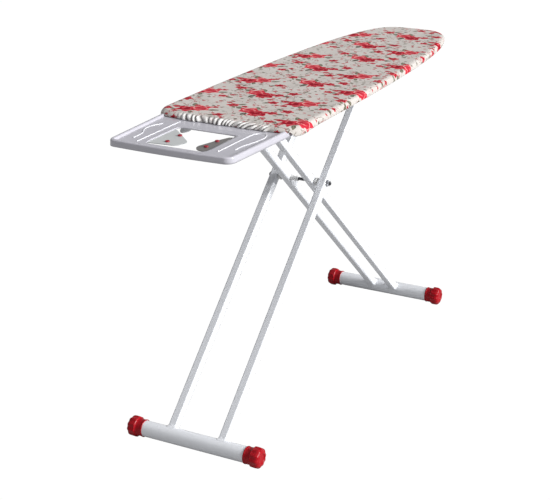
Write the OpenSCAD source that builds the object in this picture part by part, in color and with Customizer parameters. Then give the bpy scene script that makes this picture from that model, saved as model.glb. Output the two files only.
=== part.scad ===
// Folding ironing board with an iron tray, on two crossed tube frames.
// +X points to the nose, -X to the tray, Z is up and the feet stand on Z = 0.

/* [Board] */
// Height of the ironing surface above the floor
board_h = 802; // [760:1:960]
// Length of the padded board, tail to nose
board_len = 1140; // [1000:5:1400]
// Width of the padded board
board_w = 390; // [370:1:480]
// Radius of the two tail corners
tail_r = 60; // [20:1:70]
// How late the sides begin to taper
taper_power = 2.7; // [2.2:0.1:4]
// How blunt the nose is
nose_power = 4; // [3:0.1:5]
// Thickness of the cotton cover
cover_t = 1.5; // [1:0.1:2]
// Thickness of the pad under the cover
pad_t = 7; // [4:0.5:9]
// Thickness of the steel top sheet
panel_t = 1; // [0.8:0.1:1.5]
// Depth of the turned-down edge of the board
rim_h = 8; // [6:0.5:10]
// Diameter of the steam holes in the top sheet
vent_d = 14; // [8:1:18]
// Spacing of the steam holes
vent_pitch = 50; // [40:1:80]

/* [Legs] */
// Distance between the floor contact lines of the two foot bars
foot_spread = 1100; // [960:5:1200]
// Width of the square leg tube
tube_w = 22; // [18:0.5:24]
// Wall of the leg tube
tube_wall = 1.2; // [1:0.1:2]
// Outside corner radius of the leg tube
tube_r = 4; // [3:0.5:5]
// Distance between the axes of the two outer leg tubes
outer_gap = 145; // [140:1:165]
// Distance between the axes of the two inner leg tubes
inner_gap = 72; // [66:1:74]
// Share of the height at which the frames cross
cross_share = 0.7; // [0.66:0.01:0.74]
// Distance from the nose back to the scissor axle
axle_setback = 760; // [700:5:800]

/* [Feet] */
// Length of a foot bar with its end caps
foot_len = 380; // [340:1:440]
// Diameter of the foot bar
foot_d = 41; // [36:0.5:45]
// Height of a foot cap's flat above the middle of the foot bar
cap_r = 26; // [25:0.5:30]
// Length of the foot cap's head
cap_head = 24; // [20:1:30]
// Length of the foot cap's collar
cap_collar = 20; // [14:1:26]

/* [Tray] */
// How far the iron tray reaches past the tail of the board
tray_reach = 236; // [220:1:300]
// Width of the tray at its outer end
tray_w_out = 328; // [300:1:340]
// Width of the tray at the board
tray_w_in = 350; // [340:1:360]
// Length of the cut-out in the tray
cut_len = 143; // [120:1:160]
// Width of the cut-out in the tray
cut_w = 160; // [140:1:170]
// Depth of the skirt round the tray
skirt_h = 15.5; // [12:0.5:18]
// Diameter of a heat-proof stud
stud_d = 11; // [8:0.5:14]

/* [Lever] */
// Distance between two height notches
notch_pitch = 22; // [20:1:24]
// Number of height notches
notch_count = 5; // [3:1:5]
// Angle that the lever turns to lock
lock_angle = 3.5; // [3:0.1:4]

/* [Fits] */
// Radial clearance of a turning pin
pin_gap = 0.05; // [0.02:0.01:0.1]
// Clearance of the slide bushes in the rails
slide_gap = 0.4; // [0.3:0.1:0.6]
// Side clearance between parts that turn on one another
side_gap = 0.3; // [0.2:0.1:0.5]

/* [Hidden] */
$fn = 48;
eps = 0.5;

// Places along X
nose_x = (board_len + tray_reach) / 2;
tail_x = nose_x - board_len;
taper_x = tail_x - 30;
tray_out_x = tail_x - tray_reach;
tray_in_x = tail_x + 35;
axle_x = nose_x - axle_setback;

// Heights of the board's layers
pad_top_z = board_h - cover_t;
panel_top_z = pad_top_z - pad_t;
panel_z = panel_top_z - panel_t;
rim_z = panel_z - rim_h;
lip_z = rim_z - cover_t;
rim_t = 2;
rib_y = 96;

// Iron tray
tray_top_z = panel_z - 2.5;
tray_t = 3;
tray_z = tray_top_z - tray_t;
bead_z = tray_top_z + 5;
bead_w = 12;
bead_t = 2.5;
bead_end_x = tail_x - 6;
skirt_z = bead_z - skirt_h;
tray_bulge = 4;
tray_corner_r = 22;
cut_x0 = tray_out_x + 31;
cut_x1 = cut_x0 + cut_len;
cut_r = 8;
lobe_t = 2;
stud_h = 3;
rib_line = 2.5;
rib_rise = 1.2;
// Middle of each stud: X from the cut-out's outer edge, Y
STUDS = [[35, cut_w / 4], [87, cut_w / 4], [40, -cut_w * 3 / 8], [87, -cut_w * 3 / 8]];
arm_y = 120;
arm_w = 20;
arm_t = 3;
SCREW_X = [cut_x0 + 5, cut_x1 + 32];
RIVET_X = [tray_in_x + 25, tray_in_x + 60];
screw_r = 2;
rivet_r = 2.4;

// Legs: both frames are alike about the axle, so the slide bar keeps one height
foot_z = cap_r;
pivot_z = panel_z - 27.5;
leg_run = foot_spread / 2 / cross_share;
leg_rise = pivot_z - foot_z;
leg_len = norm([leg_run, leg_rise]);
leg_angle = atan2(leg_rise, leg_run);
axle_at = cross_share * leg_len;
axle_z = foot_z + cross_share * leg_rise;
arm_up = leg_len - axle_at;
pivot_x = axle_x - arm_up * cos(leg_angle);
slide_x = axle_x + arm_up * cos(leg_angle);
slide_end_x = pivot_x + 2 * arm_up;
tube_end = 13;
foot_r = foot_d / 2;
bar_half = foot_len / 2 - cap_head;
bar_wall = 1.5;
outer_y = outer_gap / 2;
inner_y = inner_gap / 2;

// Pins, bars and bushes
axle_r = 4;
rod_r = 6;
bush_r = 8;
plate_t = 2.5;
plate_y = inner_y + tube_w / 2 + 2.5;
plate_out = plate_y + plate_t;
flange_w = 11;

// Height lever
lever_r = 3;
lever_x = slide_end_x + 32;
lever_z = pivot_z + 15.5;
lever_t = 4;
tooth_z = pivot_z - rod_r - slide_gap;
lever_low_z = tooth_z - 16;
grip_len = 90;
grip_y = floor(half_width(lever_x + grip_len) - 30);
guide_y = rib_y + (grip_y - rib_y) * 3 / 8;

// Cross-section of a square tube with rounded corners
module round_square(w, r) {
    square([w - 2 * r, w], center = true);
    square([w, w - 2 * r], center = true);
    for (sx = [-1, 1], sy = [-1, 1])
        translate([sx * (w / 2 - r), sy * (w / 2 - r)]) circle(r);
}

// Cylinder along Y between two places
module y_bar(r, y0, y1, x = 0, z = 0) {
    translate([x, y1, z]) rotate([90, 0, 0]) cylinder(r = r, h = y1 - y0);
}

// Profile in the XZ plane, extruded along Y between two places
module y_plate(y0, y1) {
    translate([0, y1, 0]) rotate([90, 0, 0]) linear_extrude(y1 - y0) children();
}

// Outline of the board: superellipse sides and nose, round tail corners, moved in by d
function edge_point(t, d) =
    let (u = pow(sin(t), 2 / taper_power), v = pow(cos(t), 2 / nose_power),
         nx = taper_power * pow(u, taper_power - 1) / (nose_x - taper_x),
         ny = nose_power * pow(v, nose_power - 1) / (board_w / 2), n = norm([nx, ny]))
    [taper_x + (nose_x - taper_x) * u - d * nx / n, board_w / 2 * v - d * ny / n];
function edge_t(x) = asin(pow((x - taper_x) / (nose_x - taper_x), taper_power / 2));
function half_width(x) = edge_point(edge_t(x), 0)[1];
edge_t0 = edge_t(tail_x + tail_r);
edge_steps = 30;
corner_steps = 6;
function half_outline(d) =
    let (last = edge_point(edge_t0, 0))
    concat(
        [for (i = [0:corner_steps - 1]) let (a = 180 - 90 * i / corner_steps)
            [tail_x + tail_r, last[1] - tail_r] + (tail_r - d) * [cos(a), sin(a)]],
        [for (i = [0:edge_steps - 1]) edge_point(edge_t0 + (90 - edge_t0) * i / edge_steps, d)]);
function outline(d) =
    let (h = half_outline(d), n = len(h))
    concat(h, [[nose_x - d, 0]], [for (i = [n - 1:-1:0]) [h[i][0], -h[i][1]]]);

module board_slab(d, z0, z1) {
    translate([0, 0, z0]) linear_extrude(z1 - z0) polygon(outline(d));
}

module board_ring(d0, d1, z0, z1) {
    difference() {
        board_slab(d0, z0, z1);
        board_slab(d1, z0 - eps, z1 + eps);
    }
}

// Outline of the tray, moved in by d: straight sides, round corners, bowed outer edge
function tray_half(d) =
    let (yo = tray_w_out / 2, cy = yo - tray_corner_r, cx = tray_out_x + tray_bulge + tray_corner_r)
    concat(
        [[tray_in_x, tray_w_in / 2 - d]],
        [for (i = [0:5]) let (a = 90 + 90 * i / 5)
            [cx, cy] + (tray_corner_r - d) * [cos(a), sin(a)]],
        [for (i = [1:6]) let (y = cy * (1 - i / 6))
            [tray_out_x + d + tray_bulge * pow(y / cy, 2), y]]);
function tray_outline(d) =
    let (h = tray_half(d), n = len(h))
    concat(h, [for (i = [n - 2:-1:0]) [h[i][0], -h[i][1]]]);

module tray_slab(d, z0, z1) {
    translate([0, 0, z0]) linear_extrude(z1 - z0) polygon(tray_outline(d));
}

// Cut-out in the tray with round corners and a small tab on its inner edge
module cut_out(z0, z1) {
    translate([(cut_x0 + cut_x1) / 2, 0, z0]) linear_extrude(z1 - z0) difference() {
        union() {
            square([cut_len - 2 * cut_r, cut_w], center = true);
            square([cut_len, cut_w - 2 * cut_r], center = true);
            for (sx = [-1, 1], sy = [-1, 1])
                translate([sx * (cut_len / 2 - cut_r), sy * (cut_w / 2 - cut_r)]) circle(cut_r);
        }
        polygon([[cut_len / 2 + eps, cut_w / 2 - 10], [cut_len / 2 - 25, cut_w / 2 - 22],
                 [cut_len / 2 - 22, cut_w / 2 - 34], [cut_len / 2 + eps, cut_w / 2 - 40]]);
    }
}

// Outline of a line of width w drawn through a list of points
function stroke(p, w) =
    let (n = len(p),
         side = [for (i = [0:n - 1])
             let (d = p[min(i + 1, n - 1)] - p[max(i - 1, 0)]) [-d[1], d[0]] / norm(d) * w / 2])
    concat([for (i = [0:n - 1]) p[i] + side[i]], [for (i = [n - 1:-1:0]) p[i] - side[i]]);

// Hairpin loop of the raised lines on one side of the tray
function hairpin(side) =
    let (y0 = side * (cut_w / 2 + 21), x0 = cut_x0 + 6, x1 = cut_x1 + 28, r = 9)
    concat([[x0, y0], [x1, y0]],
        [for (i = [1:6]) let (a = -90 + 150 * i / 6) [x1 + r * cos(a), y0 + side * (r + r * sin(a))]],
        [[x1 - 32, y0 + side * 34], [x1 - 62, y0 + side * 36], [x1 - 92, y0 + side * 28],
         [x1 - 122, y0 + side * 25]]);

module top_panel() {
    color("gainsboro") difference() {
        board_slab(cover_t, panel_z, panel_top_z);
        for (i = [0:floor((nose_x - tail_x - 160) / vent_pitch)], j = [-2:2]) {
            x = tail_x + 80 + vent_pitch * (i + (j % 2 == 0 ? 0 : 0.5));
            y = j * vent_pitch * 0.62;
            if (x < nose_x - 90)
                translate([x, y, panel_z - eps]) cylinder(d = vent_d, h = panel_t + 2 * eps);
        }
        for (x = RIVET_X, s = [-1, 1])
            translate([x, s * arm_y, panel_z - eps]) cylinder(r = rivet_r, h = panel_t + 2 * eps);
    }
}

module rim(side) {
    color("gainsboro") intersection() {
        board_ring(cover_t, cover_t + rim_t, rim_z, panel_z);
        translate([tail_x + tail_r + 10, side > 0 ? 0 : -board_w, rim_z - eps])
            cube([board_len, board_w, rim_h + 2 * eps]);
    }
}

module rib(side) {
    rib_w = 18;
    rib_wall = 1.5;
    rib_x = pivot_x - 34;
    color("white") translate([rib_x, side * rib_y - rib_w / 2, rim_z]) difference() {
        cube([nose_x - 140 - rib_x, rib_w, rim_h]);
        translate([-eps, rib_wall, -eps])
            cube([board_len, rib_w - 2 * rib_wall, rim_h - rib_wall + eps]);
    }
}

module pad() {
    color("silver") board_slab(cover_t, panel_top_z, pad_top_z);
}

// Cover: top, sides and a hem turned in below the rim, open over the tray
module cover() {
    color("antiquewhite") difference() {
        union() {
            board_slab(0, pad_top_z, board_h);
            board_ring(0, cover_t, lip_z, pad_top_z);
            board_ring(cover_t, 20, lip_z, rim_z);
        }
        translate([tail_x - 1, -tray_w_in / 2 - 4, lip_z - 1])
            cube([tray_in_x + 6 - tail_x, tray_w_in + 8, panel_z - lip_z]);
    }
}

// Tray: a floor inside a raised hollow bead with a skirt, both ending at the board
module iron_tray() {
    color("lavender") difference() {
        tray_slab(0, skirt_z, bead_z);
        tray_slab(bead_w, tray_top_z, bead_z + eps);
        tray_slab(bead_t, skirt_z - eps, tray_z);
        difference() {
            tray_slab(bead_t, tray_z - eps, bead_z - bead_t);
            tray_slab(bead_w - bead_t, tray_z - 2 * eps, bead_z);
        }
        cut_out(tray_z - eps, tray_top_z + eps);
        translate([bead_end_x, -board_w / 2, tray_top_z])
            cube([board_w, board_w, 2 * skirt_h]);
        for (x = SCREW_X, s = [-1, 1])
            translate([x, s * arm_y, tray_z - eps]) cylinder(r = screw_r, h = 2 + eps);
    }
    color("white") for (s = [-1, 1])
        translate([0, 0, tray_top_z - eps]) linear_extrude(rib_rise + eps)
            polygon(stroke(hairpin(s), rib_line));
}

// Leaf-shaped rests that reach into the cut-out
module rest_lobe_left() {
    color("whitesmoke") translate([cut_x0, 0, tray_z]) linear_extrude(lobe_t)
        polygon(concat([[cut_len - 15, cut_w / 2], [cut_len - 18, cut_w / 2 - 8]],
            [for (i = [0:10]) let (a = -45 - 135 * i / 10) [43, 22] + 25 * [cos(a), sin(a)]],
            [[12, cut_w / 2]]));
}

module rest_lobe_right() {
    color("whitesmoke") translate([cut_x0, 0, tray_z]) linear_extrude(lobe_t)
        polygon(concat([[9, -cut_w / 2]],
            [for (i = [0:9]) let (a = 180 - 100 * i / 9) [37, -66] + 26 * [cos(a), sin(a)]],
            [[90, -cut_w / 2 + 26], [126, -cut_w / 2 + 12], [132, -cut_w / 2]]));
}

module rest_stud(i) {
    color("firebrick") translate([cut_x0 + STUDS[i][0], STUDS[i][1], tray_z + lobe_t])
        rotate_extrude() polygon([[0, 0], [stud_d / 2, 0], [stud_d / 2, stud_h - 1],
                                  [stud_d / 2 - 1, stud_h], [0, stud_h]]);
}

// Strap that carries the tray, stepped up to the underside of the top sheet
module tray_arm(side) {
    step_x = tray_in_x + 10;
    color("white") difference() {
        y_plate(side * arm_y - arm_w / 2, side * arm_y + arm_w / 2)
            polygon([[cut_x0 - 15, tray_z - arm_t], [step_x, tray_z - arm_t],
                     [step_x + 6, panel_z - arm_t], [tray_in_x + 75, panel_z - arm_t],
                     [tray_in_x + 75, panel_z], [step_x + 4, panel_z],
                     [step_x - 2, tray_z], [cut_x0 - 15, tray_z]]);
        for (x = SCREW_X)
            translate([x, side * arm_y, tray_z - arm_t - eps]) cylinder(r = screw_r, h = arm_t + 2 * eps);
        for (x = RIVET_X)
            translate([x, side * arm_y, panel_z - arm_t - eps]) cylinder(r = rivet_r, h = arm_t + 2 * eps);
    }
}

module tray_screw(x, side) {
    color("silver") translate([x, side * arm_y, 0]) {
        translate([0, 0, tray_z - arm_t - 2]) cylinder(r = 4, h = 2);
        translate([0, 0, tray_z - arm_t]) cylinder(r = screw_r, h = arm_t + 2);
    }
}

module arm_rivet(x, side) {
    color("silver") translate([x, side * arm_y, 0]) {
        translate([0, 0, panel_z - arm_t - 1.5]) cylinder(r1 = 3.2, r2 = 4.5, h = 1.5);
        translate([0, 0, panel_z - arm_t]) cylinder(r = rivet_r, h = arm_t + panel_t);
    }
}

// Plate hung under the top sheet with a flange turned outwards
module hung_plate(side, x0, x1, z0) {
    y_plate(side > 0 ? plate_y : -plate_out, side > 0 ? plate_out : -plate_y)
        polygon([[x0 + 10, z0], [x1 - 10, z0], [x1, z0 + 14], [x1, panel_z], [x0, panel_z], [x0, z0 + 14]]);
    translate([x0, side > 0 ? plate_out - eps : -plate_out - flange_w + eps, panel_z - plate_t])
        cube([x1 - x0, flange_w, plate_t]);
}

module pivot_bracket(side) {
    color("white") difference() {
        hung_plate(side, pivot_x - 24, pivot_x + 24, pivot_z - 13);
        y_bar(rod_r + pin_gap, -board_w, board_w, pivot_x, pivot_z);
    }
}

// Rail with the long slot that the slide bushes run in
module slide_rail(side) {
    slot_r = bush_r + slide_gap;
    color("white") difference() {
        hung_plate(side, slide_x - 28, slide_end_x + 22, pivot_z - 19);
        y_bar(slot_r, -board_w, board_w, slide_x - 1, pivot_z);
        y_bar(slot_r, -board_w, board_w, slide_end_x + 1, pivot_z);
        translate([slide_x - 1, -board_w, pivot_z - slot_r])
            cube([slide_end_x - slide_x + 2, 2 * board_w, 2 * slot_r]);
    }
}

module lever_ear(y0, y1) {
    difference() {
        y_plate(y0, y1) polygon([[lever_x - 10, panel_z], [lever_x - 6, lever_z - 6],
                                 [lever_x + 6, lever_z - 6], [lever_x + 10, panel_z]]);
        y_bar(lever_r + pin_gap, y0 - eps, y1 + eps, lever_x, lever_z);
    }
}

module lever_bracket() {
    color("silver") {
        for (s = [-1, 1]) lever_ear(s * 10 - 1, s * 10 + 1);
        translate([lever_x - 10, -11, panel_z - 1.5]) cube([20, 22, 1.5]);
    }
}

module lever_guide() {
    color("silver") {
        lever_ear(-guide_y - 5, -guide_y - 2.5);
        translate([lever_x - 10, -guide_y - 14, panel_z - 1.5]) cube([20, 11, 1.5]);
    }
}

// Return spring: a close-wound coil round the rod, one leg up and one over the plate
module lever_spring() {
    wire = 1.4;
    coil_in = lever_r + 0.6;
    coil_y = lever_t / 2 + 0.8;
    coil_len = 5;
    leg_r = 0.5;
    leg_at = coil_in + wire / 2;
    leg_up = panel_z - lever_z - 1.5;
    color("dimgray") translate([lever_x, 0, lever_z]) {
        difference() {
            y_bar(coil_in + wire, coil_y, coil_y + coil_len);
            y_bar(coil_in, coil_y - eps, coil_y + coil_len + eps);
        }
        translate([leg_at, coil_y + coil_len - 1, 0]) cylinder(r = leg_r, h = leg_up);
        translate([-28, coil_y + 1, -leg_at]) rotate([0, 90, 0]) cylinder(r = leg_r, h = 28);
    }
}

// Toothed plate: each notch fits the slide bar once the plate has turned up by lock_angle.
// The last one holds the bar with the legs folded.
module lever_plate() {
    color("silver") difference() {
        y_plate(-lever_t / 2, lever_t / 2) difference() {
            polygon([[slide_x - 20, tooth_z - 6], [slide_x - 12, tooth_z], [lever_x - 16, tooth_z],
                     [lever_x - 9, lever_z - 2], [lever_x - 9, lever_z + 6], [lever_x + 9, lever_z + 6],
                     [lever_x + 9, lever_z - 8], [lever_x - 4, lever_low_z], [slide_x - 14, lever_low_z]]);
            for (bar_x = concat([for (i = [0:notch_count - 1]) slide_x + i * notch_pitch], slide_end_x)) {
                dx = bar_x - lever_x;
                dz = pivot_z - lever_z;
                x = lever_x + dx * cos(lock_angle) - dz * sin(lock_angle);
                z = lever_z + dx * sin(lock_angle) + dz * cos(lock_angle);
                translate([x, z]) circle(rod_r + 2 * slide_gap);
                translate([x - rod_r - 2 * slide_gap, z]) square([2 * rod_r + 4 * slide_gap, 30]);
            }
        }
        y_bar(lever_r, -board_w, board_w, lever_x, lever_z);
    }
}

// Shaft of the lever with a crank at the side of the board
module lever_rod() {
    color("silver") {
        y_bar(lever_r, -grip_y, 14, lever_x, lever_z);
        translate([lever_x, -grip_y, lever_z]) sphere(lever_r);
        translate([lever_x, -grip_y, lever_z]) rotate([0, 90, 0]) cylinder(r = lever_r, h = grip_len);
    }
}

module lever_grip() {
    color("firebrick") translate([lever_x + 20, -grip_y, lever_z]) rotate([0, 90, 0]) difference() {
        cylinder(r = 7, h = grip_len - 14);
        translate([0, 0, -eps]) cylinder(r = lever_r, h = grip_len - 20 + eps);
    }
}

// Leg tube from the middle of its foot bar, saddle-cut to the bar; lean is 1 towards +X
module leg_tube(x, y, lean, axle_hole, top_hole) {
    color("white") translate([x, y, foot_z]) rotate([0, lean * (90 - leg_angle), 0]) difference() {
        linear_extrude(leg_len + tube_end) difference() {
            round_square(tube_w, tube_r);
            round_square(tube_w - 2 * tube_wall, tube_r - tube_wall);
        }
        y_bar(foot_r, -tube_w, tube_w);
        y_bar(axle_hole, -tube_w, tube_w, 0, axle_at);
        y_bar(top_hole, -tube_w, tube_w, 0, leg_len);
    }
}

module foot_bar(x) {
    color("white") difference() {
        y_bar(foot_r, -bar_half, bar_half, x, foot_z);
        y_bar(foot_r - bar_wall, -bar_half - eps, bar_half + eps, x, foot_z);
    }
}

// Foot cap: a round collar over the bar and a ten-sided head that stands on a flat
module foot_cap(x, side) {
    head_r = cap_r / cos(18);
    collar_r = foot_r + 2;
    color("crimson") translate([x, side * bar_half, foot_z]) rotate([-90 * side, 0, 0]) {
        difference() {
            translate([0, 0, -cap_collar]) cylinder(r = collar_r, h = cap_collar);
            translate([0, 0, -cap_collar - eps]) cylinder(r = foot_r, h = cap_collar + eps);
        }
        intersection() {
            cylinder(r = head_r, h = cap_head, $fn = 10);
            rotate_extrude() polygon([[0, 0], [head_r - 2, 0], [head_r + 0.2, 2.5],
                [head_r + 0.2, cap_head - 7], [head_r - 2.5, cap_head - 3],
                [head_r - 7, cap_head - 0.6], [head_r - 12, cap_head], [0, cap_head]]);
        }
    }
}

module inner_pivot_rod() {
    color("silver") y_bar(rod_r, -plate_out - 4, plate_out + 4, pivot_x, pivot_z);
}

// Push-on cap at an end of the pivot rod
module rod_cap(side) {
    y0 = side > 0 ? plate_out + side_gap : -plate_out - 6;
    color("dimgray") difference() {
        y_bar(9, y0, y0 + 6 - side_gap, pivot_x, pivot_z);
        y_bar(rod_r, -plate_out - 4, plate_out + 4, pivot_x, pivot_z);
    }
}

// Bolt through all four tubes, head on the far side
module scissor_axle() {
    out = outer_y + tube_w / 2;
    color("dimgray") {
        y_bar(axle_r, -out - 11, out + side_gap, axle_x, axle_z);
        translate([axle_x, out + side_gap, axle_z]) rotate([-90, 0, 0])
            rotate_extrude() polygon([[0, 0], [7.5, 0], [7.5, 2], [5, 4.5], [0, 5]]);
    }
}

module axle_sleeve() {
    color("white") difference() {
        y_bar(6.5, 2, inner_y - tube_w / 2, axle_x, axle_z);
        y_bar(axle_r, 2 - eps, inner_y, axle_x, axle_z);
    }
}

module axle_spacer(side) {
    a = inner_y + tube_w / 2;
    b = outer_y - tube_w / 2 - side_gap;
    y0 = side > 0 ? a : -b;
    y1 = side > 0 ? b : -a;
    color("whitesmoke") difference() {
        union() {
            y_bar(7, y0, y1, axle_x, axle_z);
            y_bar(10, (y0 + y1) / 2 - 2, (y0 + y1) / 2 + 2, axle_x, axle_z);
        }
        y_bar(axle_r, y0 - eps, y1 + eps, axle_x, axle_z);
    }
}

module axle_washer() {
    out = -outer_y - tube_w / 2 - side_gap;
    color("silver") difference() {
        y_bar(9, out - 1.5, out, axle_x, axle_z);
        y_bar(axle_r, out - 2, out + eps, axle_x, axle_z);
    }
}

module axle_nut() {
    out = -outer_y - tube_w / 2 - side_gap - 1.5;
    color("silver") difference() {
        translate([axle_x, out, axle_z]) rotate([90, 0, 0]) cylinder(r = 7.5, h = 6.5, $fn = 6);
        y_bar(axle_r, out - 8, out + eps, axle_x, axle_z);
    }
}

module outer_slide_bar() {
    color("silver") y_bar(rod_r, -outer_y - tube_w / 2, outer_y + tube_w / 2, slide_x, pivot_z);
}

module slide_bush(side) {
    y0 = side > 0 ? plate_y - 4 : -plate_out - 4;
    color("dimgray") difference() {
        y_bar(bush_r, y0, y0 + plate_t + 8, slide_x, pivot_z);
        y_bar(rod_r, y0 - eps, y0 + plate_t + 9, slide_x, pivot_z);
    }
}

inner_foot_x = axle_x + foot_spread / 2;
outer_foot_x = axle_x - foot_spread / 2;

top_panel();
rim(1);  // rim_left
rim(-1);  // rim_right
rib(1);  // rib_left
rib(-1);  // rib_right
pad();
cover();
iron_tray();
rest_lobe_left();
rest_lobe_right();
for (i = [0:3])
    rest_stud(i);
tray_arm(1);  // tray_arm_left
tray_arm(-1);  // tray_arm_right
for (i = [0:1], s = [0:1]) {
    tray_screw(SCREW_X[i], 1 - 2 * s);
    arm_rivet(RIVET_X[i], 1 - 2 * s);
}
pivot_bracket(1);  // pivot_bracket_left
pivot_bracket(-1);  // pivot_bracket_right
slide_rail(1);  // slide_rail_left
slide_rail(-1);  // slide_rail_right
lever_bracket();
lever_guide();
lever_spring();
lever_plate();
lever_rod();
lever_grip();
leg_tube(inner_foot_x, inner_y, -1, axle_r, rod_r);  // inner_tube_left
leg_tube(inner_foot_x, -inner_y, -1, axle_r, rod_r);  // inner_tube_right
inner_pivot_rod();
rod_cap(1);  // rod_cap_left
rod_cap(-1);  // rod_cap_right
foot_bar(inner_foot_x);  // inner_foot_bar
foot_cap(inner_foot_x, 1);  // inner_foot_cap_left
foot_cap(inner_foot_x, -1);  // inner_foot_cap_right
scissor_axle();
axle_sleeve();
axle_spacer(1);  // axle_spacer_left
axle_spacer(-1);  // axle_spacer_right
axle_washer();
axle_nut();
leg_tube(outer_foot_x, outer_y, 1, axle_r + pin_gap, rod_r);  // outer_tube_left
leg_tube(outer_foot_x, -outer_y, 1, axle_r + pin_gap, rod_r);  // outer_tube_right
outer_slide_bar();
slide_bush(1);  // slide_bush_left
slide_bush(-1);  // slide_bush_right
foot_bar(outer_foot_x);  // outer_foot_bar
foot_cap(outer_foot_x, 1);  // outer_foot_cap_left
foot_cap(outer_foot_x, -1);  // outer_foot_cap_right
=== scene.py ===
import math
from functools import partialmethod

import bmesh
import bpy
import numpy as np
from bpy.props import FloatProperty, FloatVectorProperty, IntProperty, PointerProperty
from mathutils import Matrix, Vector


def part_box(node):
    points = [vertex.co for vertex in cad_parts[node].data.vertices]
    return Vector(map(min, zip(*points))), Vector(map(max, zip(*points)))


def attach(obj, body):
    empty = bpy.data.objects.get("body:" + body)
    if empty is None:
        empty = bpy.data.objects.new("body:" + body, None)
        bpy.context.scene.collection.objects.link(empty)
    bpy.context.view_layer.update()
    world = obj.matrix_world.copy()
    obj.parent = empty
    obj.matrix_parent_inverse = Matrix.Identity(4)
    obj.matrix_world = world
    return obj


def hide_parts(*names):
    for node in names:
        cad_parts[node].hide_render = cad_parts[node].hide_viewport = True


bl_info = {
    "name": "Ironing Board",
    "version": (1, 0, 0),
    "blender": (4, 5, 0),
    "location": "View3D > Sidebar > Ironing Board",
    "description": "Cover, pad, iron tray, foot caps and finishes of a folding ironing board",
    "category": "Object",
}

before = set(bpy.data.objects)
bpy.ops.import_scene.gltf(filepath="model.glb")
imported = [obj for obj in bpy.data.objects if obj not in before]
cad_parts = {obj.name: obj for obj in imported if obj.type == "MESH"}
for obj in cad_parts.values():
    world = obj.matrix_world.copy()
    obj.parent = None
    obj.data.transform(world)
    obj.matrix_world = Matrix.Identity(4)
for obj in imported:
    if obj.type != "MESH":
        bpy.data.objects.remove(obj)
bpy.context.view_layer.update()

# ---------------------------------------------------------------- places read from the frame
COVER_LOW, COVER_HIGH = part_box("cover")
PAD_LOW, PAD_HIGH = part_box("pad")
TRAY_LOW, TRAY_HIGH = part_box("iron_tray")
TAIL_X, NOSE_X = COVER_LOW.x, COVER_HIGH.x
TOP_Z, HEM_Z = COVER_HIGH.z, COVER_LOW.z
PANEL_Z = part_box("top_panel")[0].z
MM = 0.001

# Outline of the board: a superellipse whose widest place lies just behind the tail
BOARD_HALF = 0.195
TAPER_X = TAIL_X - 0.030
TAPER_POWER = 2.7
NOSE_POWER = 4.0
TAIL_R = 0.060

# Iron tray
TRAY_OUT_X = TRAY_LOW.x
TRAY_IN_X = TRAY_HIGH.x
TRAY_FLOOR_Z = PANEL_Z - 0.0025
TRAY_BEAD_Z = TRAY_FLOOR_Z + 0.005
TRAY_HALF_OUT = 0.164
TRAY_HALF_IN = 0.175
TRAY_BULGE = 0.004
TRAY_CORNER_R = 0.022
BEAD_END_X = TAIL_X + 0.008
CUT_X0 = TRAY_OUT_X + 0.031
CUT_X1 = CUT_X0 + 0.143
CUT_HALF = 0.080

# Legs
TUBE_W = 0.022
LEG_LEAN = math.radians(90 - 43.245)


# ---------------------------------------------------------------- mesh helpers
def smooth(x, lo, hi):
    """Smooth step: 0 below lo, 1 above hi, 3t^2 - 2t^3 between."""
    t = np.clip((x - lo) / (hi - lo), 0.0, 1.0)
    return t * t * (3 - 2 * t)


def grid_faces(rows, cols, wrap_rows=False):
    """Quads of a grid of rows x cols points, stored row by row. Each row is a closed ring."""
    i = np.arange(rows if wrap_rows else rows - 1)[:, None]
    j = np.arange(cols)[None, :]
    i1, j1 = (i + 1) % rows, (j + 1) % cols
    return np.stack([i * cols + j, i1 * cols + j, i1 * cols + j1, i * cols + j1], -1).reshape(-1, 4)


def make_mesh(name, points, faces, flat=None):
    """A smooth mesh object from (n, 3) points and (m, 4) faces, with a UV map of flat."""
    mesh = bpy.data.meshes.new(name)
    count, sides = faces.shape
    mesh.vertices.add(len(points))
    mesh.vertices.foreach_set("co", np.asarray(points, np.float32).ravel())
    mesh.loops.add(count * sides)
    mesh.loops.foreach_set("vertex_index", faces.astype(np.int32).ravel())
    mesh.polygons.add(count)
    mesh.polygons.foreach_set("loop_start", np.arange(0, count * sides, sides, dtype=np.int32))
    mesh.update(calc_edges=True)
    mesh.polygons.foreach_set("use_smooth", np.ones(count, bool))
    if flat is not None:
        layer = mesh.uv_layers.new(name="cloth")
        layer.data.foreach_set("uv", np.asarray(flat, np.float32)[faces.ravel()].ravel())
    obj = bpy.data.objects.new(name, mesh)
    bpy.context.scene.collection.objects.link(obj)
    return obj


def mark_points(obj, **marks):
    """Stores one number per point under each name, for the material to read."""
    for name, values in marks.items():
        layer = obj.data.attributes.new(name, "FLOAT", "POINT")
        layer.data.foreach_set("value", np.asarray(values, np.float32).ravel())
    return obj


def close_seams(obj):
    """Merges points that meet, and turns every face outwards."""
    bm = bmesh.new()
    bm.from_mesh(obj.data)
    bmesh.ops.remove_doubles(bm, verts=bm.verts, dist=2e-5)
    bmesh.ops.dissolve_degenerate(bm, edges=bm.edges, dist=1e-7)
    bmesh.ops.recalc_face_normals(bm, faces=bm.faces)
    bm.to_mesh(obj.data)
    bm.free()
    return obj


def joined(parts):
    """Points and quads of several (points, faces) pairs as one pair."""
    points, faces, base = [], [], 0
    for p, f in parts:
        points.append(p)
        faces.append(f + base)
        base += len(p)
    return np.concatenate(points), np.concatenate(faces)


def finish_piece(obj, body, material):
    """Gives a piece its material and its body."""
    obj.data.materials.append(material)
    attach(obj, body)
    return obj


def closed_piece(name, shape, body, material):
    """A finished piece from its points and faces, with its seams closed."""
    return finish_piece(close_seams(make_mesh(name, *shape)), body, material)


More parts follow.
